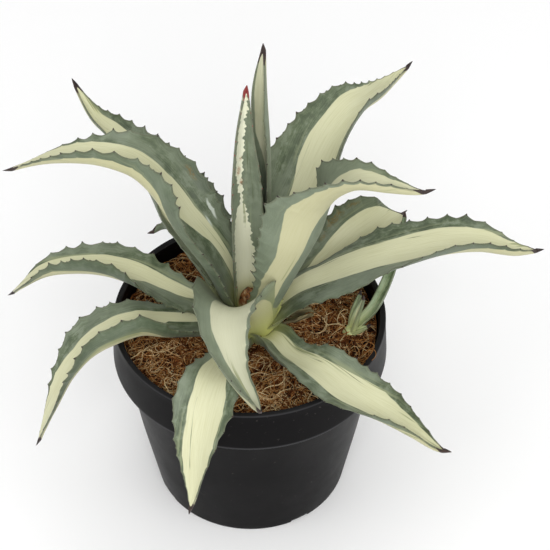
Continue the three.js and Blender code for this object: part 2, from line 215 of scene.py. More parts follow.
# Each leaf: the heading that it grows in, degrees from +X; its widest width, the neck beside that, where the widest
# place lies and how fast it tapers; its midrib as (distance out, height, distance left); and at even steps from foot
# to tip its thickness, the angle at which its halves leave the midrib and how much further each curls up.
# stripe is the cream band's left and right edge, as shares of the half-width at even steps: 1 is the left margin for
# the first list and the right margin for the second, and a negative share lies past the midrib.
leafBasics = {
    "pitch": (12, 12),  # between the left teeth and between the right
    "tooth": 3.9, "spine": 7, "spineRadius": 1.2, "marginThickness": 0.9, "neck": 0.6, "widest": 0.5, "taper": 1.8,
    "thickness": [8, 5, 3.4, 2.2], "crease": [12, 12, 12, 16, 20],
    "stripe": ([0.5, 0.5, 0.55, 0.7, 1], [0.5, 0.5, 0.55, 0.7, 1]),
    "under": ([0.6, 0.6, 0.65, 0.75, 1], [0.6, 0.6, 0.65, 0.75, 1]),  # the same on its lower face
    "wave": 0.7, "waveRun": 9,  # how far the margins sway out of the blade, and the millimetres to a radian of that
    "drift": 0.35, "driftRun": 17,  # the same for the slow sway of the whole blade
    "rim": 0.4,  # how far the rounded rim stands out, as a share of the margin's thickness
    "trough": 0.03,  # how softly the blade folds at its midrib
    "hook": 0.6,  # how far the teeth lean to the tip
    "rowsPerTooth": 16, "upperColumns": 41, "lowerColumns": 25, "spineRows": 12,
    "red": False,  # whether it has the young skin with a red end spine
    "blemishes": [],  # (share of length, share of half-width, length, width, strength)
    "foldShadeLines": [],  # dark lines of painted shade along folds: (share of half-width, first and last share of length)
    "ragged": 0,  # how far the cream's edge is torn
    "tears": (0.7, 1.3, 2.9),  # and the millimetres to a radian of each wave that tears it
    "foot": 22,  # length of its pale foot
    "hornRun": 5,  # how far the horn runs back from the spine along its margins
    "rise": 4.5, "fall": 3.4,  # how fast the teeth grow from the foot, and shrink to the tip
    "lean": (0, 0),  # how far left and right teeth turn up from their margin
    "tint": 0.5,  # 0 for dark green, 1 for blue-grey bloom and chalk; partly painted light and shade, raised on leaves in the shade of others
}
leaves = {
    "leaf_spear": {
        "heading": 68, "width": 32, "neck": 0.8, "widest": 0.43, "taper": 1.9, "thickness": [6, 4, 3, 2.4],
        "midrib": [(3, 168), (11, 192), (18, 222), (23, 259), (25, 305), (24, 345), (22, 380, -2)],
        "crease": [20, 26, 32, 34, 36], "left": [33, 31, 39, 46, 2], "right": [34, 26, 23, 28, 16],
        "stripe": ([-0.4, -0.4, -0.5, -0.3, 0.4, 0.7, 0.8], [1, 1, 1, 1, 1]),
        "under": ([-0.1, 0, 0.1, 0.3, 0.8], [0.7, 0.6, 0.5, 0.5, 0.9]),
        "tooth": 1.6, "hornRun": 11, "tint": 1, "foldShadeLines": [(-0.45, 0.2, 1)],
    },
    "leaf_inner": {
        "heading": 112, "width": 28, "neck": 0.95, "widest": 0.42, "taper": 2, "thickness": [6, 4, 3, 2.4],
        "midrib": [(4, 166), (6, 196), (6, 230, 1), (7, 268, 1), (6, 315, 1), (0, 362)],
        "crease": [12, 12, 14, 24, 30], "left": [27, 25, 26, 17, 7], "right": [29, 25, 25, 31, 22],
        "stripe": ([0.85, 0.9, 0.85, 0.8, 0.15, 0.55, 0.68, 0.7, 0.85],
                   [0.5, 0.5, 0.45, 0.3, -0.05, 0, 0.1, 0.2, 0.7]),
        "under": ([0.5, 0.45, 0.4, 0.4, 0.8], [0.1, 0.15, 0.2, 0.3, 0.8]),
        "tooth": 1.6, "ragged": 1.6, "red": True, "tint": 0.85,
        "foldShadeLines": [(0.72, 0.6, 0.95), (-0.3, 0.55, 0.9), (-0.5, 0.4, 0.8)],
        "blemishes": [(0.63, 0.3, 5, 2.5, 0.5), (0.57, 0.1, 4, 2, 0.45), (0.68, 0.15, 3, 2, 0.4)],
    },
    "leaf_arching_right": {
        "heading": -45, "width": 71, "neck": 0.35, "widest": 0.57, "taper": 0.75,
        "midrib": [(8, 158), (22, 192, 6), (36, 235, 16), (42, 268, 28),
                   (61, 291, 38), (84, 297, 47), (98, 298, 56), (108, 302, 63)],
        "crease": [14, 14, 12, 12, 20],
        "left": [0, -3, 1, 6, 19, 39, 46, 30, 5], "right": [30, 28, 27, 24, 28, 19, 22, 38, 50],
        "stripe": ([0.3, 0.3, 0.3, 0.3, 0.35, 0.55, 0.7, 0.75, 0.9], [0.7, 0.7, 0.7, 0.7, 0.8, 0.9, 0.95, 0.95, 1]),
        "under": ([-0.3, -0.25, -0.22, -0.12, -0.1, 0.1, 0.4, 0.7, 1],
                  [0.85, 0.8, 0.75, 0.62, 0.66, 0.8, 0.9, 0.95, 1]),
        "pitch": (9, 9), "hornRun": 9, "tint": 0.8,
    },
    "leaf_back_right": {
        "heading": 52, "width": 66, "neck": 0.62, "widest": 0.48, "taper": 0.9,
        "midrib": [(8, 160), (25, 185), (43, 207), (66, 231), (89, 253, 2),
                   (112, 265), (135, 264, -3), (162, 258), (188, 260)],
        "crease": [12, 12, 12, 14, 24],
        "left": [28, 24, 22, 23, 26, 22, 11, 5, 0], "right": [30, 24, 22, 22, 25, 28, 32, 35, 28],
        "stripe": ([0.2, 0.2, 0.2, 0.3, 0.43, 0.52, 0.75, 0.95, 1], [0.5, 0.55, 0.6, 0.6, 0.65, 0.7, 0.8, 0.9, 1]),
        "pitch": (8.5, 9), "tooth": 3.2, "hornRun": 7, "tint": 0.65,
    },
    "leaf_arching_left": {
        "heading": 165, "width": 60, "widest": 0.48, "taper": 1,
        "midrib": [(8, 158), (24, 198), (44, 229), (62, 250, -6), (79, 266, -6),
                   (96, 276), (116, 276, 2), (143, 267, 2), (173, 251, 3)],
        "left": [17, 14, 19, 23, 41, 50, 35, 25, 5], "right": [26, 21, 20, 26, 25, 22, 2, -12, -30],
        "stripe": ([-0.3, -0.4, -0.3, 0, 0.85, 0.9, 0.9, 0.9, 1], [0.7, 0.7, 0.62, 0.5, 0.46, 0.58, 0.78, 0.95, 1]),
        "under": ([0.1, 0.1, 0.25, 0.5, 0.68, 0.78, 0.82, 0.85, 1], [0.5, 0.5, 0.5, 0.5, 0.5, 0.6, 0.8, 0.9, 1]),
        "pitch": (9.5, 12), "hornRun": 9, "tint": 0.65,
        "blemishes": [(0.46, -0.85, 6, 2, 0.5), (0.33, -0.8, 9, 0.9, -0.9), (0.3, -0.62, 7, 0.6, -0.8)],
    },
    "leaf_back_left": {
        "heading": 135, "width": 59, "neck": 0.42, "widest": 0.42, "taper": 0.9,
        "midrib": [(10, 152), (26, 166), (41, 183), (59, 200), (82, 216),
                   (103, 231), (130, 239), (155, 242), (185, 255, -6)],
        "crease": [12, 12, 12, 14, 20], "left": [29, 24, 21, 21, 32, 21, 19, 27, 22], "right": [30, 19, 14, 17, 38],
        "stripe": ([0.5, 0.5, 0.5, 0.6, 0.8, 0.88, 0.88, 0.92, 1], [0.5, 0.5, 0.5, 0.5, 0.5, 0.48, 0.5, 0.7, 1]),
        "pitch": (10, 10), "hornRun": 7, "tint": 0.55,
    },
    "leaf_front_folded": {
        "heading": -90, "width": 70, "neck": 0.58, "widest": 0.32, "taper": 0.65, "spine": 3,
        "midrib": [(9, 148, 4), (19, 177, -3), (31, 191, -13), (51, 192, -16),
                   (77, 181, -10), (101, 177, 2), (121, 188, 9)],
        "crease": [12, 12, 14, 14, 20],
        "left": [25, 18, 15, 25, 22, 19, 26, 22, 5], "right": [31, 28, 25, 21, 20, 27, 40, 33, 15],
        "stripe": ([0.3, 0.3, 0.5, 0.8, 0.88, 0.88, 0.85, 0.8, 0.8], [0.5, 0.45, 0.42, 0.45, 0.45, 0.3, 0, -0.1, 0]),
        "tooth": 6, "rise": 9, "fall": 0.9, "lean": (-60, -25), "foot": 45, "tint": 0.95,
    },
    "leaf_behind_right": {
        "heading": 38, "width": 60, "neck": 0.4, "widest": 0.75, "taper": 1.6,
        "midrib": [(11, 146), (31, 146), (53, 152, -3), (75, 161, -4),
                   (96, 171, -5), (117, 176, -6), (142, 173, -2)],
        "crease": [12, 12, 12, 14, 20], "left": [28, 19, 11, 7, 4, 22, 45, 41, -15], "right": [30, 28, 27, 25, 20],
        "stripe": ([0.5, 0.6, 0.62, 0.63, 0.8], [0.5, 0.5, 0.5, 0.6, 0.8]),
        "pitch": (7.5, 10), "tooth": 3.6, "lean": (-45, 0), "tint": 0.3,
        "blemishes": [(0.66, 0.85, 9, 2.5, 0.6), (0.56, 0.8, 6, 2, 0.45), (0.76, 0.88, 6, 2, 0.5)],
    },
    "leaf_right": {
        "heading": 8, "width": 55, "neck": 0.68, "widest": 0.43, "taper": 2,
        "midrib": [(11, 148), (33, 172), (55, 181, 2), (80, 191, 2), (106, 197, 2),
                   (132, 201, 2), (158, 200), (184, 193, -3), (208, 187, 2)],
        "left": [4, -22, -32, -20, -8, -8, 11, 16, 16], "right": [11, -2, -2, 0, 14, 20, 28, 37, 38],
        "stripe": ([0.5, 0.6, 0.6, 0.5, 0.52, 0.62, 0.7, 0.8, 1], [0, 0.1, 0.22, 0.34, 0.42, 0.6, 0.88, 0.9, 1]),
        "under": ([0.6, 0.6, 0.65, 0.75, 1], [0.3, 0.3, 0.3, 0.3, 0.4, 0.6, 0.8, 0.85, 1]),
        "hornRun": 7, "tint": 0.4, "foldShadeLines": [(0.46, 0.12, 0.75)],
    },
    "leaf_left": {
        "heading": 168, "width": 42, "neck": 0.45, "widest": 0.54, "taper": 1.5,
        "midrib": [(11, 150), (42, 160, 2), (60, 166), (81, 173, -3), (104, 176, -3),
                   (127, 172, -2), (147, 165), (164, 153, 4), (177, 137, 2)],
        "left": [17, 1, -6, 14, 37, 42, 38, 6, -15], "right": [28, 18, 9, -3, -5, 0, 2, -5, -30],
        "stripe": ([-0.3, -0.35, 0, 0.15, 0.85, 0.9, 0.9, 0.9, 1],
                   [0.8, 0.75, 0.62, 0.52, 0.52, 0.52, 0.63, 0.75, 1]),
        "under": ([0, 0, 0.1, 0.4, 0.6, 0.62, 0.7, 0.8, 1], [0.5, 0.5, 0.5, 0.5, 0.5, 0.6, 0.8, 0.9, 1]),
        "pitch": (9, 12), "tint": 0.4,
    },
    "leaf_small_back": {
        "heading": 122, "width": 26, "neck": 0.7, "widest": 0.4, "taper": 3, "spine": 4, "thickness": [6, 4, 3, 2.4],
        "midrib": [(11, 144), (35, 154), (60, 162), (82, 166, 2), (97, 166, 10), (102, 161, 24)],
        "crease": [12, 12, 14, 16, 20], "left": [30, 20, 20, 20, 14], "right": [30, 20, 20, 20, 14],
        "stripe": ([0.3, 0, -0.3], [0.3, 0, -0.3]), "under": ([0.3, 0, -0.3], [0.3, 0, -0.3]), "tint": 0.75,
    },
    "leaf_front_low": {
        "heading": -107, "width": 43, "neck": 0.4, "widest": 0.57, "taper": 1,
        "midrib": [(11, 142), (38, 156), (61, 165), (82, 170), (101, 162),
                   (116, 145), (123, 125), (129, 107), (133, 89, -2)],
        "crease": [12, 12, 10, 10, 16], "left": [30, 13, 4, 23, 30], "right": [24, -8, 4, 2, 8],
        "stripe": ([0, 0.1, 0.15, 0.35, 0.6, 0.75, 0.92, 1, 1], [0.5, 0.5, 0.6, 0.62, 0.5, 0.55, 0.78, 0.9, 1]),
        "tooth": 2.6, "tint": 0.6, "foldShadeLines": [(-0.35, 0.45, 0.95)],
    },
    "leaf_left_low": {
        "heading": 197, "width": 50, "neck": 0.5, "widest": 0.45, "taper": 1.3,
        "midrib": [(11, 144), (32, 153), (47, 157), (65, 162), (80, 167), (98, 164),
                   (115, 153, -2), (129, 135, -2), (142, 113, 2), (153, 92, 5), (160, 73, 5)],
        "crease": [12, 12, 12, 14, 20],
        "left": [12, 12, 22, 46, 43, 22, 14, 9, -5], "right": [22, 4, -8, -9, -6, 8, 3, -12, -20],
        "stripe": ([-0.1, -0.17, -0.2, 0.5, 0.85, 0.88, 0.9, 0.9, 1],
                   [0.75, 0.72, 0.63, 0.53, 0.53, 0.5, 0.78, 0.95, 1]),
        "under": ([0.3, 0.4, 0.55, 0.65, 0.7, 0.7, 0.75, 0.8, 1], [0.5, 0.5, 0.5, 0.5, 0.5, 0.6, 0.8, 0.9, 1]),
        "pitch": (10.5, 12), "tint": 0.55,
    },
    "leaf_front_right": {
        "heading": -47, "width": 43, "neck": 0.64, "widest": 0.56, "taper": 1.2,
        "midrib": [(11, 142), (27, 152, -2), (48, 154, -6), (75, 160, -5), (105, 160, -4),
                   (134, 160), (159, 163), (179, 165), (192, 169, 2)],
        "crease": [12, 12, 10, 12, 16],
        "left": [6, -8, -10, 8, 7, 14, 24, 30, 27], "right": [27, 25, 20, 4, 2, 14, 28, 39, 45],
        "stripe": ([0.3, 0.5, 0.55, 0.48, 0.6, 0.7, 0.66, 0.7, 0.9], [0.75, 0.3, 0.3, 0.5, 0.55, 0.6, 0.75, 0.85, 1]),
        "tooth": 2.6, "tint": 0.6, "foldShadeLines": [(0.45, 0.08, 0.75), (0.33, 0.15, 0.5)],
    },
    "leaf_back_low": {
        "heading": 78, "width": 48,
        "midrib": [(11, 144), (32, 155), (56, 162), (80, 165), (102, 160), (122, 146), (138, 126), (150, 104)],
        "crease": [12, 12, 12, 12, 18], "left": [30, 16, 14, 14, 10], "right": [30, 16, 14, 14, 10],
    },
}


toothShape = {
    "uneven": 0.26,  # how far a tooth strays from its even place, as a share of the pitch
    "crowding": 0.93,  # below 1, teeth stand closer towards the tip
    "tall": (0.55, 1.1),  # heights, as shares of the leaf's own
    "small": (0, 0.4),  # the same for the small teeth in half of the gaps
    "rowPull": 0.55,  # how much closer the rows stand at the teeth
    "halfPoint": 1.1, "halfSmall": 0.9,  # half the width of a point of horn
    "swell": 0.75, "spike": 0.3,  # what arc and point add to the height
    "sunk": 0.6,  # how far the margin between teeth lies inside the outline
}


# Where the rows meet one margin: the teeth stand unevenly, and the rows crowd at each tooth and halfway between two.
# The margin hangs in a hollow arc from tooth to tooth, and each tooth ends in a small hooked point of horn.
# Returns for each row its share of the blade, how far the margin stands out, and how much point and arc it has.
def toothedMargin(leaf, m, rows, teeth, length, draw):
    even = (np.arange(teeth) + 0.5) / teeth
    swing = draw.uniform(-m["uneven"], m["uneven"], teeth) / teeth
    peaks = even ** m["crowding"] + swing * (1 - even)
    tall = draw.uniform(*m["tall"], teeth + 2)
    small = draw.uniform(*m["small"], teeth + 1) * (draw.uniform(0, 1, teeth + 1) > 0.5)
    step = np.linspace(-0.5, teeth - 0.5, rows)
    step = step - m["rowPull"] * np.sin(4 * np.pi * step) / (4 * np.pi)
    s = np.interp(step, [-0.5, *range(teeth), teeth - 0.5], [0, *peaks, 1])
    nearest = np.rint(step).astype(int)
    away = np.abs(step - nearest) * 2
    spacing = length * np.gradient(s) / np.gradient(step)
    point = np.clip(1 - np.abs(step - nearest) * spacing / m["halfPoint"], 0, 1)
    middle = np.clip(np.floor(step).astype(int) + 1, 0, teeth)
    between = np.abs(step - np.floor(step) - 0.5)
    smallPoint = np.clip(1 - between * spacing / m["halfSmall"], 0, 1) * small[middle]
    envelope = leaf["tooth"] * np.minimum(1, np.minimum(leaf["rise"] * s + 0.1, leaf["fall"] * (1 - s)))
    height = tall[np.clip(nearest + 1, 0, teeth + 1)]
    swell = (1 - away) ** 1.5 * height + np.clip(1 - 4 * between, 0, 1) ** 2 * small[middle]
    spike = point ** 1.1 * height + smallPoint
    extra = envelope * (m["swell"] * swell + m["spike"] * spike) - m["sunk"]
    return s, extra, np.clip(spike, 0, 1) * (envelope > 0), swell


# One leaf: its midrib is turned to its heading, and its blade is carried along it.
def leafShape(leaf, seed):
    draw = np.random.default_rng(seed)
    heading = math.radians(leaf["heading"])
    out = np.array([math.cos(heading), math.sin(heading), 0])
    side = np.array([-math.sin(heading), math.cos(heading), 0])
    points = [m[0] * out + (m[2] if len(m) > 2 else 0) * side + np.array([0, 0, m[1]]) for m in leaf["midrib"]]
    return bladeShape(leaf, points, side, draw)


# How freely the blade sways: from nothing at the midrib to its margins, and still at both of its ends.
def swayShare(reach, s):
    return np.clip((reach - 0.3) / 0.7, 0, 1) ** 2 * np.sin(np.pi * np.clip(s, 0, 1)) ** 0.5


# A blade's cross-section is carried along the curve through its points. Halves leave the midrib at the crease angle
# and curl up more towards the margins; the section is a closed loop of an upper face, a rounded margin, a lower face
# that bellies down to the thickness at the midrib, and the other margin. Its end runs on into the spine.
def bladeShape(leaf, points, side, draw):
    total = alongCurve(points, np.zeros(1))[2]
    bladeEnd = 1 - leaf["spine"] / total
    length = total * bladeEnd
    teeth = [max(2, round(length / pitch)) for pitch in leaf["pitch"]]
    rows = max(teeth) * leaf["rowsPerTooth"] + 1
    margins = [toothedMargin(leaf, toothShape, rows, count, length, draw) for count in teeth]
    pairs = [(left[:, None], right[:, None]) for left, right in zip(*margins)]

    # The ring's columns: v runs from the left margin at 1 to the right at -1 above, and back below.
    upper = np.sin(np.linspace(np.pi / 2, -np.pi / 2, leaf["upperColumns"]) * 0.999)
    upper = 0.5 * upper + 0.5 * np.linspace(1, -1, leaf["upperColumns"])
    lower = np.linspace(-1, 1, leaf["lowerColumns"])
    turn = np.array([np.pi / 4, np.pi / 2, 3 * np.pi / 4])  # round the margin's rim
    v = np.concatenate([upper, -np.ones(3), lower, np.ones(3)])[None, :]
    isUpper = np.concatenate([np.ones(len(upper)), np.zeros(6 + len(lower))])[None, :] > 0
    around = np.concatenate([np.zeros(len(upper)), turn, np.full(len(lower), np.pi), turn[::-1]])[None, :]
    reach = np.abs(v)
    leftShare = (1 + v) / 2

    s = pairs[0][0] * leftShare + pairs[0][1] * (1 - leftShare)
    isLeft = v > 0
    extra, point, swell = (np.where(isLeft, left, right) for left, right in pairs[1:])
    atEdge = np.clip((reach - 0.62) / 0.38, 0, 1) ** 1.6
    s = np.clip(s + leaf["hook"] * point ** 1.5 * eased(reach, 0.9, 1) / length, 0, 1)

    # The spine's rows follow the blade's, with q from 0 at its foot to 1 at its point.
    spineRows = np.linspace(0, 1, leaf["spineRows"] + 2)[1:-1, None] + 0 * v
    q = np.vstack([np.zeros_like(s), spineRows])
    s = np.vstack([s, np.ones_like(spineRows)])
    extra = np.vstack([extra * atEdge, 0 * spineRows])
    point = np.vstack([point * eased(reach, 0.9, 1), 0 * spineRows])
    swell = np.vstack([swell * atEdge, 0 * spineRows])

    full = leaf["width"] / 2
    # Half a cosine wave widens it from the neck to the widest place, and a power of the way left narrows it again.
    widening = (1 - np.cos(np.pi * np.minimum(s / leaf["widest"], 1))) / 2
    t = np.clip((s - leaf["widest"]) / (1 - leaf["widest"]), 0, 1)
    half = np.where(s < leaf["widest"], full * (leaf["neck"] + (1 - leaf["neck"]) * widening),
                    leaf["spineRadius"] + (full - leaf["spineRadius"]) * (1 - t ** leaf["taper"]))
    narrowing = (1 - q) ** 0.8
    half = half * narrowing
    margin = leaf["marginThickness"] * (1 - 0.7 * point) * narrowing
    half = half - margin * leaf["rim"]

    curl = np.radians(np.where(isLeft, along(leaf["left"], s), along(leaf["right"], s))) * reach
    lift = np.radians(along(leaf["crease"], s)) + curl
    slope = lift + curl
    thick = along(leaf["thickness"], s) * narrowing
    depth = margin + (thick - margin) * (1 - reach ** 2)
    rim = (reach == 1) & (around > 0) & (around < np.pi)
    sunk = np.where(isUpper, 0, -depth)
    sunk = np.where(rim, margin * (np.cos(around) - 1) / 2, sunk)
    outward = np.where(rim, margin * leaf["rim"] * np.sin(around), 0)

    # The midrib is a soft trough, not a sharp fold: the root of v squared and a little more, scaled to end at 1.
    trough = leaf["trough"]
    soft = (np.sqrt(v ** 2 + trough) - math.sqrt(trough)) / (math.sqrt(1 + trough) - math.sqrt(trough))
    phase = draw.uniform(0, 2 * np.pi, 4)
    ripple = np.sin(swell * 1.5 + s * length / leaf["waveRun"] + np.where(isLeft, phase[0], phase[1]))
    drift = np.sin(s * length / leaf["driftRun"] + phase[2] + 2 * v) * np.sin(np.pi * s)
    sway = (leaf["wave"] * (ripple * swayShare(reach, s)) + leaf["drift"] * drift) * (1 - q) * (s > 0)
    # Teeth run on in the direction in which the margin points, but for their lean.
    lean = slope + np.radians(np.where(isLeft, *leaf["lean"]))
    x = np.sign(v) * (half * reach * np.cos(lift) - sunk * np.sin(slope) + outward * np.cos(slope)
                      + extra * np.cos(lean))
    y = (half * soft * np.sin(lift) + sunk * np.cos(slope) + outward * np.sin(slope)
         + extra * np.sin(lean) + sway)

    share = s * bladeEnd + (1 - bladeEnd) * q
    spot, tangent, _ = alongCurve(points, share)
    across = side - (tangent @ side)[..., None] * tangent
    across = across / np.linalg.norm(across, axis=-1, keepdims=True)
    normal = np.cross(tangent, across)
    ringPoints = spot + across * x[..., None] + normal * y[..., None]
    count, columns = ringPoints.shape[:2]
    ends = np.array([ringPoints[0].mean(0), alongCurve(points, np.ones(1))[0][0]])

    # What the material reads: place along and across in millimetres and which face; distance inside the stripe,
    # horn of teeth and spine, and paleness at the foot; distance from the margin and from a dark line of painted fold
    # shade, blemish.
    edges = [np.where(isUpper, along(leaf["stripe"][i], s), along(leaf["under"][i], s)) for i in (0, 1)]
    ragged = sum(np.sin(s * length / run + phase[3] * run) for run in leaf["tears"]) * leaf["ragged"] / 3
    inStripe = np.minimum(edges[0] - v, edges[1] + v) * half + ragged
    nearSpine = eased(leaf["hornRun"] * (0.3 + 0.7 * reach ** 2) - (1 - s) * length, 0, 1.5)
    horn = np.maximum(np.maximum(eased(point, 0.35, 0.8), eased(q, 0, 0.12)), nearSpine)
    pale = np.exp(-s * length / leaf["foot"])
    face = np.where(isUpper, 1.0, -1.0) * np.where(rim, 0, 1) + 0 * s
    place = np.stack([s * length + draw.uniform(0, 3000), v * half, face], -1)
    far = 9.0  # millimetres, too far off for a line of painted fold shade to show
    # streak is the distance to the nearest dark line of painted fold shade.
    streak = np.full(s.shape, far)
    for v0, first, last in leaf["foldShadeLines"]:
        shown = eased(s, first, first + 0.08) * (1 - eased(s, last - 0.15, last))
        wander = 0.05 * np.sin(s * length / 21 + 9 * v0)
        streak = np.minimum(streak, np.abs(v - v0 - wander) * half + 4 * (1 - shown) + far * ~isUpper)
    blemish = np.zeros_like(s)
    for share0, v0, long, wide, strength in leaf["blemishes"]:
        spread = ((s - share0) * length / long) ** 2 + ((v - v0) * half / wide) ** 2
        blemish = np.where(np.exp(-spread) > np.abs(blemish), strength * np.exp(-spread), blemish)

    def withEnds(field):
        flat = field.reshape(count * columns, -1)
        return np.vstack([flat, flat[:columns].mean(0), flat[-columns:].mean(0)])

    values = {"place": withEnds(place), "zone": withEnds(np.stack([inStripe, horn, pale], -1)),
              "mark": withEnds(np.stack([(1 - reach) * half, streak, blemish], -1)),
              "tint": np.full(count * columns + 2, leaf["tint"])}
    return np.vstack([ringPoints.reshape(-1, 3), ends]), ringFaces(count, columns), values


# Agave leaf: a waxy skin grown over fine lengthwise fibres. The wax gives the green a grey, matt bloom that is rubbed
# off in patches;
# the cream band holds no green; teeth and spine are dark horn with a slight shine. Its lower face is darker with
# painted shade, and the line colour is painted shade along folds.
# grain is each noise: its steps along, across and between the faces, in turns per millimetre, detail and roughness.
leafLook = {
    "deep": "#3c4930", "green": "#586549", "bloom": "#7f8975", "half": "#8f9674", "chalk": "#bfc0ab",
    "cream": "#cfcfac", "creamLow": "#c0bf93", "streak": "#838a5f", "foot": "#b3b565", "line": "#525d3b",
    "underGreen": "#4e5b44", "underCream": "#a5a073", "edgeLine": "#54563e",
    "horn": "#3c2a22", "hornTip": "#1b1211", "redHorn": "#8a2623",
    "scar": "#75653c", "rubbed": "#d3dad0",
    "red": 0, "roughness": (0.4, 0.62),  # how much red in its horn; the smoothest and roughest of its skin
    "grain": {
        "mottle": ((0.09, 0.13, 0), 6, 0.66),
        "cloud": ((0.016, 0.05, 0.4), 3, 0.55),
        "fine": ((0.05, 1.6, 0), 3, 0.5),
        "broad": ((0.014, 0.32, 0.5), 2, 0.5),
        "specks": ((0.7, 0.9, 0), 2, 0.7),
        "wobble": ((0.03, 0.25, 0), 3, 0.5),
    },
}


def paintLeaf(add, look):
    place, zone, mark = (add("Attribute", {"attribute_name": key}, "Vector") for key in ("place", "zone", "mark"))
    tint = add("Attribute", {"attribute_name": "tint"}, "Fac")
    face = add("SeparateXYZ", {0: place}, 2)
    inside, horn, pale = (add("SeparateXYZ", {0: zone}, i) for i in range(3))
    rim, streak, blemish = (add("SeparateXYZ", {0: mark}, i) for i in range(3))
    grain = {}
    for key, (scale, detail, rough) in look["grain"].items():
        spot = add("VectorMath", {"operation": "MULTIPLY", 0: place, 1: scale})
        grain[key] = add("TexNoise", {"Vector": spot, "Scale": 1, "Detail": detail, "Roughness": rough})
    sway = add("Math", {"operation": "MULTIPLY_ADD", 0: grain["wobble"], 1: 2.4, 2: -1.2})
    edge = add("Math", {"operation": "ADD", 0: inside, 1: sway})

    # Each share runs from 0 to its greatest value as its source goes from the first number to the second.
    shares = {
        "greener": (grain["mottle"], 0.42, 0.52, 1), "bloomed": (grain["mottle"], 0.5, 0.62, 0.85),
        "washed": (grain["cloud"], 0.45, 0.6, 0.65), "lightFibre": (grain["fine"], 0.35, 0.75, 0.3),
        # shaded, frosted and chalky follow tint: partly the leaf's own bloom, partly painted light and shade set leaf
        # by leaf.
        "darkFibre": (grain["fine"], 0.55, 0.3, 0.3), "shaded": (tint, 0.5, 0, 0.55), "frosted": (tint, 0.5, 1, 0.65),
        "chalky": (tint, 0.6, 1, 0.6),
        "paleBand": (grain["broad"], 0.52, 0.6, 1), "nearCream": (inside, -4.5, -0.5, 0.8),
        "ribbed": (grain["fine"], 0.4, 0.7, 0.55), "streaked": (grain["broad"], 0.62, 0.67, 1),
        # under paints shade on the lower face: the darker shaded under colours replace the green and the cream there.
        "atEdge": (inside, 5, 0.8, 0.8), "under": (face, 0.4, -0.4, 0.55), "cream": (edge, -0.25, 0.3, 1),
        # line paints the shade along folds as a dark line, from the streak distance.
        "foot": (pale, 0.2, 0.95, 0.9), "line": (streak, 0.5, 0.15, 0.7), "scar": (blemish, 0.12, 0.5, 1),
        "rubbed": (blemish, -0.12, -0.5, 0.85), "broken": (grain["specks"], 0.35, 0.6, 0.9),
        "margin": (rim, 0.9, 0.25, 0.45), "horn": (horn, 0.3, 0.7, 1), "darkHorn": (grain["specks"], 0.3, 0.7, 1),
    }
    for key, (source, low, high, most) in shares.items():
        shares[key] = add("MapRange", {"interpolation_type": "SMOOTHSTEP", 0: source, 1: low, 2: high, 4: most})
    for key, first, second in (("paleBand", "paleBand", "nearCream"), ("streaked", "streaked", "atEdge"),
                               ("scar", "scar", "broken")):
        shares[key] = add("Math", {"operation": "MULTIPLY", 0: shares[first], 1: shares[second]})

    # Layers of paint over one another: the green, the cream, the horn, and then the whole skin.
    layers = {
        "green": [look["deep"], ("greener", look["green"]), ("bloomed", look["bloom"]), ("washed", look["bloom"]),
                  ("lightFibre", look["bloom"]), ("darkFibre", look["deep"]), ("paleBand", look["half"]),
                  ("under", look["underGreen"]), ("shaded", look["deep"]), ("frosted", look["bloom"])],
        "creamy": [look["cream"], ("ribbed", look["creamLow"]), ("chalky", look["chalk"]),
                   ("under", look["underCream"]), ("streaked", look["streak"])],
        "horny": [look["horn"], ("darkHorn", look["hornTip"]), (look["red"], look["redHorn"])],
        "skin": ["green", ("cream", "creamy"), ("foot", look["foot"]), ("line", look["line"]),
                 ("scar", look["scar"]), ("rubbed", look["rubbed"]), ("margin", look["edgeLine"]),
                 ("horn", "horny")],
    }
    for key, (first, *rest) in layers.items():
        shade = layers.get(first, first)
        for amount, over in rest:
            amount, over = shares.get(amount, amount), layers.get(over, over)
            shade = add("Mix", {"data_type": "RGBA", 0: amount, 6: shade, 7: over}, 2)
        layers[key] = shade

    least, most = look["roughness"]
    rough = add("MapRange", {0: grain["mottle"], 1: 0.3, 2: 0.7, 3: least, 4: most})
    bump = add("Bump", {"Strength": 0.35, "Distance": 0.0003, "Height": grain["fine"]})
    bump = add("Bump", {"Strength": 0.3, "Distance": 0.0006, "Height": grain["mottle"], "Normal": bump})
    return add("BsdfPrincipled", {"IOR": 1.42, "Sheen Weight": 0.06, "Sheen Roughness": 0.5,
                                  "Base Color": layers["skin"], "Roughness": rough, "Normal": bump})


leafSkin = addMaterial("agave leaf, waxy bloom over fibres", paintLeaf, leafLook)
# This leaf's lighter cream, cream low and chalk are partly painted light, for a leaf in the shade of its neighbours.
innerSkin = addMaterial("young agave leaf with a red spine", paintLeaf, {
    **leafLook, "cream": "#e6e6c8", "creamLow": "#dcdbb6", "chalk": "#dedfd0", "scar": "#9a5f38", "red": 0.85})
for number, (name, own) in enumerate(leaves.items()):
    leaf = {**leafBasics, **own}
    addPiece(name + "_skin", leafShape(leaf, 100 + number), innerSkin if leaf["red"] else leafSkin, "leaf", name)
print("leaves done")


stub = {
    **leafBasics,
    "heading": 14, "width": 20, "neck": 0.9, "widest": 0.4, "taper": 3, "thickness": [6, 5, 4, 3],
    "midrib": [(11, 142), (27, 144), (38, 145), (50, 143)],
    "crease": [8, 8, 10, 14, 20], "left": [30, 20, 24, 30, 30], "right": [30, 20, 24, 30, 30],
    "spine": 3, "tooth": 0, "wave": 1.2,
}


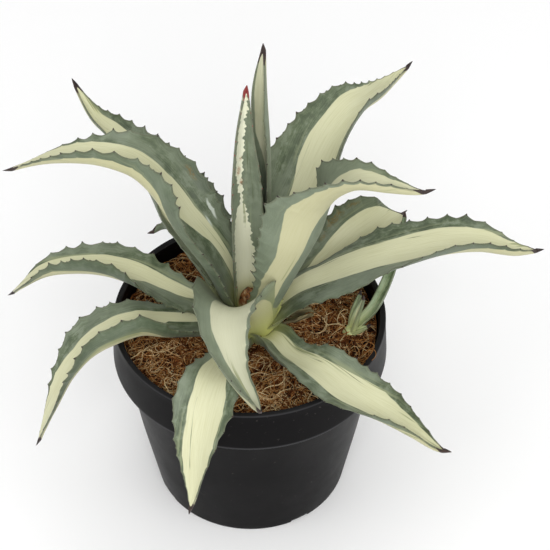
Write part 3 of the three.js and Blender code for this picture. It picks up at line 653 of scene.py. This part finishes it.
# Dried agave leaf: withered, papery skin over fibres. It is dull, and its ribs stand out as ridges.
def paintDried(add, colours):
    place = add("Attribute", {"attribute_name": "place"}, "Vector")
    spot = add("VectorMath", {"operation": "MULTIPLY", 0: place, 1: (0.08, 0.8, 0)})
    ribs = add("TexNoise", {"Vector": spot, "Scale": 1, "Detail": 5})
    ramp = add("ValToRGB", {"stops": colours, 0: ribs})
    bump = add("Bump", {"Strength": 0.8, "Distance": 0.0008, "Height": ribs})
    return add("BsdfPrincipled", {"Roughness": 0.85, "IOR": 1.4, "Base Color": ramp, "Normal": bump})


driedSkin = addMaterial("dried agave leaf", paintDried, [(0.3, "#3d3422"), (0.5, "#6d6547"), (0.7, "#a09670")])
addPiece("leaf_old_stub_skin", leafShape(stub, 61), driedSkin, "dried_leaf", "leaf_old_stub")


stemShape = {
    "profile": [(8, 112), (13, 124), (16, 140), (15, 150), (12, 160), (8, 170), (4, 177), (1, 179)],
    "rows": 56, "segments": 64,
    "scars": 0.3,  # half the depth of its leaf scars
}


# A profile of (radius, height) turned about the vertical axis, closed by a point on the axis at each end.
def turnedShape(profile, segments, bumps=None):
    r, z = np.array(profile, float).T
    angle = circle(segments)
    radius = r[:, None] + (bumps(angle, z[:, None]) if bumps else 0 * angle)
    rings = turned(radius, angle, z[:, None])
    points = np.vstack([rings.reshape(-1, 3), [(0, 0, z[0]), (0, 0, z[-1])]])
    return points, ringFaces(len(r), segments), {}


# Agave stem: packed pale leaf bases, fleshy and smooth, with a faint shine. Crumbs of coir have caught on its top,
# and fade in between the heights given in metres.
stemLook = {
    "skin": [(0.3, "#8f9a62"), (0.55, "#c9cc95"), (0.75, "#dcdcb4")],
    "from": 0.165, "to": 0.17, "crumbs": [(0.35, "#3a2314"), (0.5, "#8a5733"), (0.65, "#c9b48c")],
}


def paintStem(add, look):
    at = add("TexCoord", {}, "Object")
    noise = add("TexNoise", {"Vector": at, "Scale": 260, "Detail": 4})
    ramp = add("ValToRGB", {"stops": look["skin"], 0: noise})
    bump = add("Bump", {"Strength": 0.3, "Distance": 0.0005, "Height": noise})
    height = add("SeparateXYZ", {0: at}, 2)
    dusty = add("MapRange", {0: height, 1: look["from"], 2: look["to"]})
    crumbs = add("ValToRGB", {"stops": look["crumbs"], 0: noise})
    shade = add("Mix", {"data_type": "RGBA", 0: dusty, 6: ramp, 7: crumbs}, 2)
    return add("BsdfPrincipled", {"Roughness": 0.5, "IOR": 1.4, "Base Color": shade, "Normal": bump})


smoothProfile = alongCurve(stemShape["profile"], np.linspace(0, 1, stemShape["rows"]))[0]
stemBody = turnedShape(smoothProfile, stemShape["segments"],
                       lambda angle, z: stemShape["scars"] * (np.sin(5 * angle + z / 6) - 1))
stemFlesh = addMaterial("agave stem, pale fleshy", paintStem, stemLook)
addPiece("stem_core", stemBody, stemFlesh, "stem", "stem")


potShape = {
    "height": 154, "rim": 95, "base": 69, "wall": 2, "floor": 2.5, "bodyTop": 88.8, "bulge": 1, "middle": 60,
    "collar": 33, "flare": 1.6, "lip": 3.6, "segments": 192,
    "footRing": 4.5,  # height of a ring of points that keeps the slots' shading in the foot
    "slots": {"count": 4, "firstAngle": -59, "width": 14, "height": 2.6, "depth": 7},
}


# The straight taper of the body, from its base up to the collar's step.
def bodyRadius(p, z):
    return p["base"] + (p["bodyTop"] - p["base"]) * z / (p["height"] - p["collar"])


# The corner points of the pot's section with each corner cut to an arc of three points.
def roundedProfile(corners):
    spots = []
    for i, (r, z, size) in enumerate(corners):
        here = np.array([r, z], float)
        if size == 0:
            spots.append(here)
            continue
        before, after = (np.array(corners[i + k][:2], float) - here for k in (-1, 1))
        start = here + before / np.linalg.norm(before) * size
        end = here + after / np.linalg.norm(after) * size
        for t in (0, 0.25, 0.5, 0.75, 1):
            spots.append((1 - t) ** 2 * start + 2 * t * (1 - t) * here + t * t * end)
    return spots


# The pot's section, up the outside, over the lip and down the inside: radius, height and size of the rounding.
def potProfile(p):
    step = p["height"] - p["collar"]
    foot, inner = p["rim"] + p["flare"], p["rim"] - p["lip"]
    middle = bodyRadius(p, p["middle"]) + p["bulge"]
    ring = p["footRing"]
    return roundedProfile([
        (1, 0, 0), (p["base"], 0, 1.6), (p["base"] + (middle - p["base"]) * ring / p["middle"], ring, 0),
        (middle, p["middle"], 12), (p["bodyTop"], step, 0.6),
        (foot, step, 0.9), (foot, step + 3, 1.2), (p["rim"] + 0.2, p["height"] - 5, 2),
        (p["rim"] + 0.2, p["height"], 1), (inner, p["height"], 1), (inner - 1, p["height"] - 5, 1.5),
        (inner - 1.4, step + 3, 2), (p["bodyTop"] - p["wall"], step - 3, 2),
        (middle - p["wall"], p["middle"], 12), (p["base"] - p["wall"], p["floor"], 1.5), (1, p["floor"], 0),
    ])


# Polypropylene, injection-moulded in black: satin, with a soft dark sheen from its fine mould grain. Grey along its
# bead and lip is a painted highlight, and a little potting dust lies on it. Real mould grain is near 0.1 mm, too fine
# to show, and is drawn near 1 mm. The painted highlights are given as height and reach in metres, and share of grey.
potLook = {
    "black": "#050405", "worn": "#0d0c0d", "edge": "#505052", "dust": "#5b5650", "roughness": (0.34, 0.5),
    # painted highlights: the edge grey along the bead and along the lip
    "bands": [(0.1222, 0.0012, 0.5), (0.1533, 0.0012, 0.35)],
}


def paintPot(add, look):
    at = add("TexCoord", {}, "Object")
    height = add("SeparateXYZ", {0: at}, 2)
    grain = add("TexNoise", {"Vector": at, "Scale": 900, "Detail": 2})
    cloud = add("TexNoise", {"Vector": at, "Scale": 18, "Detail": 5, "Roughness": 0.65})
    specks = add("TexNoise", {"Vector": at, "Scale": 260, "Detail": 3, "Roughness": 0.7})
    shade = add("Mix", {"data_type": "RGBA", 0: cloud, 6: look["black"], 7: look["worn"]}, 2)
    # Painted highlights: a band of the edge grey at the bead and at the lip.
    for middle, reach, share in look["bands"]:
        away = add("Math", {"operation": "SUBTRACT", 0: height, 1: middle})
        away = add("Math", {"operation": "ABSOLUTE", 0: away})
        near = add("MapRange", {"interpolation_type": "SMOOTHSTEP", 0: away, 1: reach, 2: 0, 4: share})
        shade = add("Mix", {"data_type": "RGBA", 0: near, 6: shade, 7: look["edge"]}, 2)
    spots = add("MapRange", {0: specks, 1: 0.66, 2: 0.78, 4: 0.5})
    shade = add("Mix", {"data_type": "RGBA", 0: spots, 6: shade, 7: look["dust"]}, 2)
    least, most = look["roughness"]
    rough = add("MapRange", {0: cloud, 1: 0.3, 2: 0.7, 3: least, 4: most})
    bump = add("Bump", {"Strength": 0.12, "Distance": 0.0002, "Height": grain})
    return add("BsdfPrincipled", {"IOR": 1.49, "Specular IOR Level": 0.07, "Base Color": shade,
                                  "Roughness": rough, "Normal": bump})


# The turned wall, less a box at each slot, which is cut here once so that the finished mesh has no modifier.
def addPot(p):
    plastic = addMaterial("polypropylene, injection-moulded black", paintPot, potLook)
    pot = addPiece("pot_shell", turnedShape(potProfile(p), p["segments"]), plastic, "pot_plastic", "pot")
    slots = p["slots"]
    cutters = []
    for i in range(slots["count"]):
        angle = math.radians(slots["firstAngle"] + 360 / slots["count"] * i)
        x, y, z = np.meshgrid([p["base"] - slots["depth"], p["base"] + slots["depth"]],
                              [-slots["width"] / 2, slots["width"] / 2], [-slots["height"], slots["height"]],
                              indexing="ij")
        box = np.stack([x * math.cos(angle) - y * math.sin(angle), x * math.sin(angle) + y * math.cos(angle), z], -1)
        mesh = bpy.data.meshes.new("slotCutter")
        mesh.from_pydata((box.reshape(-1, 3) / 1000).tolist(), [], [
            (0, 1, 3, 2), (4, 6, 7, 5), (0, 4, 5, 1), (2, 3, 7, 6), (0, 2, 6, 4), (1, 5, 7, 3)])
        cutter = bpy.data.objects.new("slotCutter", mesh)
        scene.collection.objects.link(cutter)
        cut = pot.modifiers.new("slot", "BOOLEAN")
        cut.operation, cut.solver, cut.object = "DIFFERENCE", "EXACT", cutter
        cutters.append(cutter)
    bpy.context.view_layer.update()
    finished = bpy.data.meshes.new_from_object(pot.evaluated_get(bpy.context.evaluated_depsgraph_get()))
    pot.modifiers.clear()
    pot.data = finished
    for cutter in cutters:
        bpy.data.objects.remove(cutter)


addPot(potShape)
print("pot done")


coirShape = {
    "height": 140, "mound": 5, "relief": 1.5, "gap": 0.6, "edge": 89.4, "segments": 360,
    "topRings": 110,
    "clearance": 0.3,  # over the pot's floor
    "clumps": [(7.5, 1.3, 11), (3.4, 0.9, 12), (1.7, 0.45, 13)],  # size, height and seed
    "hollow": 7,  # millimetres of height to one unit of shade
    "shade": (-0.3, 0.3),  # the darkest and lightest that height alone gives
}


# The height of the filling's top: a low mound, crossed waves of two lengths, and clumps of three sizes.
def coirTop(x, y, c):
    radius = np.hypot(x, y)
    fade = np.clip((c["edge"] - radius) / 12, 0, 1)
    long = np.sin(x / 11 + 1.3) * np.cos(y / 13 - 0.4)
    middle = np.sin((x + y) / 7) * np.cos((x - y) / 8.5 + 2)
    clumps = sum(tall * unevenness(x + 300, y + 300, size, seed) for size, tall, seed in c["clumps"])
    return (c["height"] + c["mound"] * np.clip(1 - radius / c["edge"], 0, 1)
            + c["relief"] * (0.6 * long + 0.4 * middle) * fade + clumps * (0.4 + 0.6 * fade))


# Coconut coir: shredded husk, its fibres red-brown and straw. The nearly black end of the ramp is painted shade in
# the gaps.
coirColours = [(0.12, "#1e0e06"), (0.3, "#5c2f15"), (0.46, "#935a2b"), (0.64, "#c38f54"), (0.86, "#eed6a6")]


def paintCoir(add, colours):
    at = add("TexCoord", {}, "Object")
    shade = add("Attribute", {"attribute_name": "shade"}, "Fac")
    crumbs = add("TexNoise", {"Vector": at, "Scale": 420, "Detail": 5, "Roughness": 0.7})
    lit = add("Math", {"operation": "MULTIPLY_ADD", 0: crumbs, 1: 0.9, 2: -0.17})
    # The shade value is painted shade in the bed's hollows, and each fibre's own tone.
    lit = add("Math", {"operation": "ADD", 0: lit, 1: shade})
    ramp = add("ValToRGB", {"stops": colours, 0: lit})
    bump = add("Bump", {"Strength": 0.9, "Distance": 0.0012, "Height": crumbs})
    return add("BsdfPrincipled", {"Roughness": 0.9, "IOR": 1.4, "Specular IOR Level": 0.2,
                                  "Base Color": ramp, "Normal": bump})


# The filling: rings from near the middle of the top out to the wall, down the wall and across the floor.
def coirBody(c, p):
    inset, foot = p["wall"] + c["gap"], p["floor"] + c["clearance"]
    step = p["height"] - p["collar"]
    topRadius = c["edge"] * np.linspace(0.01, 1, c["topRings"])
    down = [(c["edge"], step + 4), (p["bodyTop"] - inset, step - 3),
            (bodyRadius(p, p["middle"]) - inset, p["middle"]), (p["base"] - inset, foot), (5, foot)]
    angle = circle(c["segments"])
    z = coirTop(topRadius[:, None] * np.cos(angle), topRadius[:, None] * np.sin(angle), c)
    top = turned(topRadius[:, None], angle, z)
    radius, height = np.array(down, float).T[..., None]
    rings = turned(radius, angle, height)
    summit = float(coirTop(np.zeros(1), np.zeros(1), c)[0])
    points = np.vstack([top.reshape(-1, 3), rings.reshape(-1, 3), [(0, 0, summit), (0, 0, foot)]])
    # Painted shade: hollows are darker than clumps.
    clump = (z - c["height"] - c["mound"] / 2) / c["hollow"]
    shade = np.concatenate([np.clip(clump, *c["shade"]).ravel(), np.zeros(len(down) * c["segments"] + 2)])
    return points, ringFaces(len(topRadius) + len(down), c["segments"]), {"shade": shade}


coir = addMaterial("coconut coir, shredded", paintCoir, coirColours)
addPiece("coir_bed", coirBody(coirShape, potShape), coir, "coir", "coir_substrate")


# Fibres as thin tubes with a three-cornered section carried along each path; paths are (fibre, point, xyz).
def fibreTubes(paths, radii, shades):
    count, steps = paths.shape[:2]
    tangent = np.gradient(paths, axis=1)
    tangent /= np.linalg.norm(tangent, axis=-1, keepdims=True) + 1e-9
    side = np.cross(tangent, [0.12, 0.2, 1])
    side /= np.linalg.norm(side, axis=-1, keepdims=True) + 1e-9
    over = np.cross(side, tangent)
    angle = np.arange(3) * 2 * np.pi / 3
    thin = radii[:, None] * (1 - 0.6 * np.linspace(-1, 1, steps)[None, :] ** 4)
    rings = (paths[:, :, None] + thin[..., None, None] * (np.cos(angle)[:, None] * side[:, :, None]
                                                          + np.sin(angle)[:, None] * over[:, :, None]))
    last = (steps - 1) * 3
    caps = np.array([[2, 1, 0], [last, last + 1, last + 2]])
    start = (np.arange(count) * steps * 3)[:, None, None]
    faces = [(ringQuads(steps, 3)[None] + start).reshape(-1, 4), (caps[None] + start).reshape(-1, 3)]
    return rings.reshape(-1, 3), faces, {"shade": np.repeat(shades, steps * 3)}


# Real coir fibres are about 0.1 to 0.3 mm thick, and these are drawn thicker so that they show. Pairs are the least
# and the greatest. comb is the share that follows the swirl, and turn how far a fibre tends to curl, in radians.
fibreSets = {
    "coir_fibres_fine": {
        "count": 3800, "points": 8, "long": (8, 26), "turn": 1.2, "radius": (0.16, 0.36), "comb": 0.8,
        "lift": (0.2, 2.6), "sink": (-0.5, 0.7), "shade": (-0.25, 0.5), "seed": 21},
    "coir_fibres_curly": {
        "count": 1100, "points": 16, "long": (22, 60), "turn": 5.5, "radius": (0.18, 0.42), "comb": 0.4,
        "lift": (0.5, 5), "sink": (-0.3, 1), "shade": (0, 0.6), "seed": 22},
    "coir_crumbs": {
        "count": 900, "points": 4, "long": (2, 6), "turn": 0.8, "radius": (0.4, 0.9), "comb": 0,
        "lift": (0.1, 0.5), "sink": (-0.5, 0.4), "shade": (-0.3, 0.75), "seed": 23},
}


# A share of the fibres is combed along a swirl. Each starts anywhere on the top and turns as it goes, by a steady
# curl and a sway, and its middle arches up.
def lyingFibres(f, c):
    draw = np.random.default_rng(f["seed"])
    count, t = f["count"], np.linspace(0, 1, f["points"])[None, :]
    radius = (c["edge"] - 1) * np.sqrt(draw.uniform(0.03, 1, (count, 1)))
    angle = draw.uniform(0, 2 * np.pi, (count, 1))
    swirl = 2.4 * np.sin(radius * np.cos(angle) / 15 + 1) + 2.1 * np.cos(radius * np.sin(angle) / 12)
    heading = (np.where(draw.uniform(0, 1, (count, 1)) < f["comb"], swirl + draw.normal(0, 0.5, (count, 1)),
                        draw.uniform(0, 2 * np.pi, (count, 1))) + draw.normal(0, f["turn"], (count, 1)) * t
               + draw.uniform(0, 1.2, (count, 1)) * np.sin(2 * np.pi * (t * 1.7 + draw.uniform(0, 1, (count, 1)))))
    step = draw.uniform(*f["long"], (count, 1)) / (f["points"] - 1)
    x, y = np.cumsum(np.cos(heading) * step, 1), np.cumsum(np.sin(heading) * step, 1)
    x += radius * np.cos(angle) - x.mean(1, keepdims=True)
    y += radius * np.sin(angle) - y.mean(1, keepdims=True)
    pull = np.minimum(1, (c["edge"] - 0.8) / np.hypot(x, y))
    x, y = x * pull, y * pull
    z = (coirTop(x, y, c) + draw.uniform(*f["sink"], (count, 1))
         + draw.uniform(*f["lift"], (count, 1)) * np.sin(np.pi * t) * draw.uniform(0, 1, (count, 1))
         + 0.5 * np.sin(6 * t + draw.uniform(0, 6, (count, 1))))
    return fibreTubes(np.stack([x, y, z], -1), draw.uniform(*f["radius"], count), draw.uniform(*f["shade"], count))


for name, fibres in fibreSets.items():
    addPiece(name, lyingFibres(fibres, coirShape), coir, "coir")

# A few long fibres loop up over the rim at the front right, and some lie caught where the leaves meet.
strayFibres = {
    "radius": 0.22, "shade": 0.25, "points": 28,
    "paths": [
        [(71, -40, 143), (78, -38, 152), (84, -35, 156), (87, -39, 155), (84, -44, 154), (79, -40, 152)],
        [(69, -36, 142), (77, -31, 152), (83, -29, 156), (86, -33, 155), (82, -38, 154), (73, -42, 147)],
        [(73, -35, 143), (80, -33, 150), (85, -36, 156), (82, -42, 156), (75, -45, 149), (69, -46, 143)],
        [(-3, -8, 180), (2, -6, 183), (6, -8, 181), (4, -12, 179), (-2, -11, 181)],
        [(-2, -6, 181), (1, -10, 182), (6, -11, 182), (7, -7, 180), (3, -5, 181)],
    ],
}
steps = np.linspace(0, 1, strayFibres["points"])
paths = np.stack([alongCurve(path, steps)[0] for path in strayFibres["paths"]])
radius, shade = (np.full(len(paths), strayFibres[key]) for key in ("radius", "shade"))
addPiece("coir_stray_fibres", fibreTubes(paths, radius, shade), coir, "coir")
print("coir done")


offsetBasics = {
    **leafBasics,
    "neck": 0.9, "widest": 0.3, "taper": 2, "spine": 4, "tooth": 0, "thickness": [3.5, 2.6, 2], "wave": 0.15,
    "crease": [20, 20, 20], "left": [20, 20, 20], "right": [20, 20, 20], "hook": 0, "hornRun": 0.3,
    "stripe": ([0, -0.3, -0.6], [0, -0.3, -0.6]), "under": ([0, -0.3], [0, -0.3]),
    "upperColumns": 15, "lowerColumns": 11, "rowsPerTooth": 12,
}
offsetBlades = [
    {"width": 10, "points": [(70, -5, 142), (79, 0, 149), (88, 6, 157), (98, 25, 167), (105, 42, 183),
                             (109, 54, 201)]},
    {"width": 8, "points": [(71, -5, 142), (74, -5, 156), (77, -4, 167), (79, -3, 176)],
     "stripe": ([0.3, 0.5, 0.3], [0.3, 0.5, 0.3])},
    {"width": 6, "points": [(70, -6, 142), (77, -7, 146), (85, -7, 151)]},
    {"width": 6, "points": [(71, -4, 142), (73, 3, 154), (78, 11, 167)]},
]
offsetFoot = {"at": (70, -5, 139.5), "radius": 5.4, "rings": 16, "segments": 32}


# The foot is a ball whose radius swells a little between its leaf scars. Its values tell the skin that it lies far
# from any stripe, margin, line of painted fold shade or blemish, and near the pale foot.
def offsetFootShape(f):
    tilt = np.linspace(-np.pi / 2, np.pi / 2, f["rings"] + 2)[1:-1, None]
    turn = circle(f["segments"])
    radius = f["radius"] * (1 + 0.04 * np.sin(3 * turn + 9 * tilt))
    ball = turned(radius * np.cos(tilt), turn, radius * np.sin(tilt))
    points = np.vstack([ball.reshape(-1, 3), [(0, 0, -f["radius"]), (0, 0, f["radius"])]]) + np.array(f["at"])
    n = len(points)
    values = {"place": points - np.array(f["at"]) + [0, 0, 1],
              "zone": np.stack([np.full(n, -5.0), np.zeros(n), np.full(n, 0.8)], -1),
              "mark": np.stack([np.full(n, 5.0), np.full(n, 30.0), np.zeros(n)], -1), "tint": np.full(n, 0.3)}
    return points, ringFaces(f["rings"], f["segments"]), values


# The foot and its blades; each blade lies square to the upright plane through its first and last point.
def offsetShape():
    parts = [offsetFootShape(offsetFoot)]
    for number, own in enumerate(offsetBlades):
        blade = {**offsetBasics, **own}
        first, last = np.array(own["points"][0]), np.array(own["points"][-1])
        side = np.array([-(last - first)[1], (last - first)[0], 0]) / np.hypot(*(last - first)[:2])
        parts.append(bladeShape(blade, own["points"], side, np.random.default_rng(300 + number)))
    return joined(parts)


offsetLook = {**leafLook, "deep": "#5b6f4e", "green": "#7f9470", "bloom": "#a4b394", "cream": "#d9dcb6",
              "foot": "#c3c98a"}
offsetSkin = addMaterial("agave shoot, pale young skin", paintLeaf, offsetLook)
addPiece("offset_shoot", offsetShape(), offsetSkin, "offset_leaf", "offset_plant")
print("young plant done")


studio = {
    "floor": "#fbfbfb", "halfFloor": 4,
    "world": 0.66,
    "aim": (0, 0, 0.15),
    "lights": [  # name, place in metres, size in metres, watts
        ("keyLeft", (-1.5, -0.9, 1.7), 1.2, 8),
        ("fillRight", (1.6, -1.0, 1.3), 1.4, 6),
        ("front", (0.1, -1.7, 1.5), 1.4, 22),
        ("topBack", (0.1, 1.1, 2.0), 1.6, 6),
    ],
}


# White paper: matt, with a tooth so slight that it hardly shows.
def paintPaper(add, colour):
    at = add("TexCoord", {}, "Object")
    tooth = add("TexNoise", {"Vector": at, "Scale": 300})
    bump = add("Bump", {"Strength": 0.02, "Distance": 0.0002, "Height": tooth})
    return add("BsdfPrincipled", {"Base Color": colour, "Roughness": 0.9, "Normal": bump})


def addStudio(s):
    mesh = bpy.data.meshes.new("floor")
    x = s["halfFloor"]
    mesh.from_pydata([(-x, -x, 0), (x, -x, 0), (x, x, 0), (-x, x, 0)], [], [(0, 1, 2, 3)])
    mesh.materials.append(addMaterial("paper, matt white", paintPaper, s["floor"]))
    floor = bpy.data.objects.new("floor", mesh)
    scene.collection.objects.link(floor)
    world = bpy.data.worlds.new("studio")
    scene.world = world
    world.use_nodes = True
    background = world.node_tree.nodes["Background"]
    background.inputs[0].default_value = (1, 1, 1, 1)
    background.inputs[1].default_value = s["world"]
    for name, place, size, watts in s["lights"]:
        light = bpy.data.lights.new(name, "AREA")
        light.shape, light.size, light.energy = "DISK", size, watts
        lamp = bpy.data.objects.new(name, light)
        lamp.location = place
        toward = np.array(s["aim"]) - np.array(place)
        tilt = math.acos(-toward[2] / np.linalg.norm(toward))
        lamp.rotation_euler = (tilt, 0, math.atan2(-toward[0], toward[1]))
        scene.collection.objects.link(lamp)
    scene.view_settings.view_transform = "Standard"


addStudio(studio)
print("studio done")
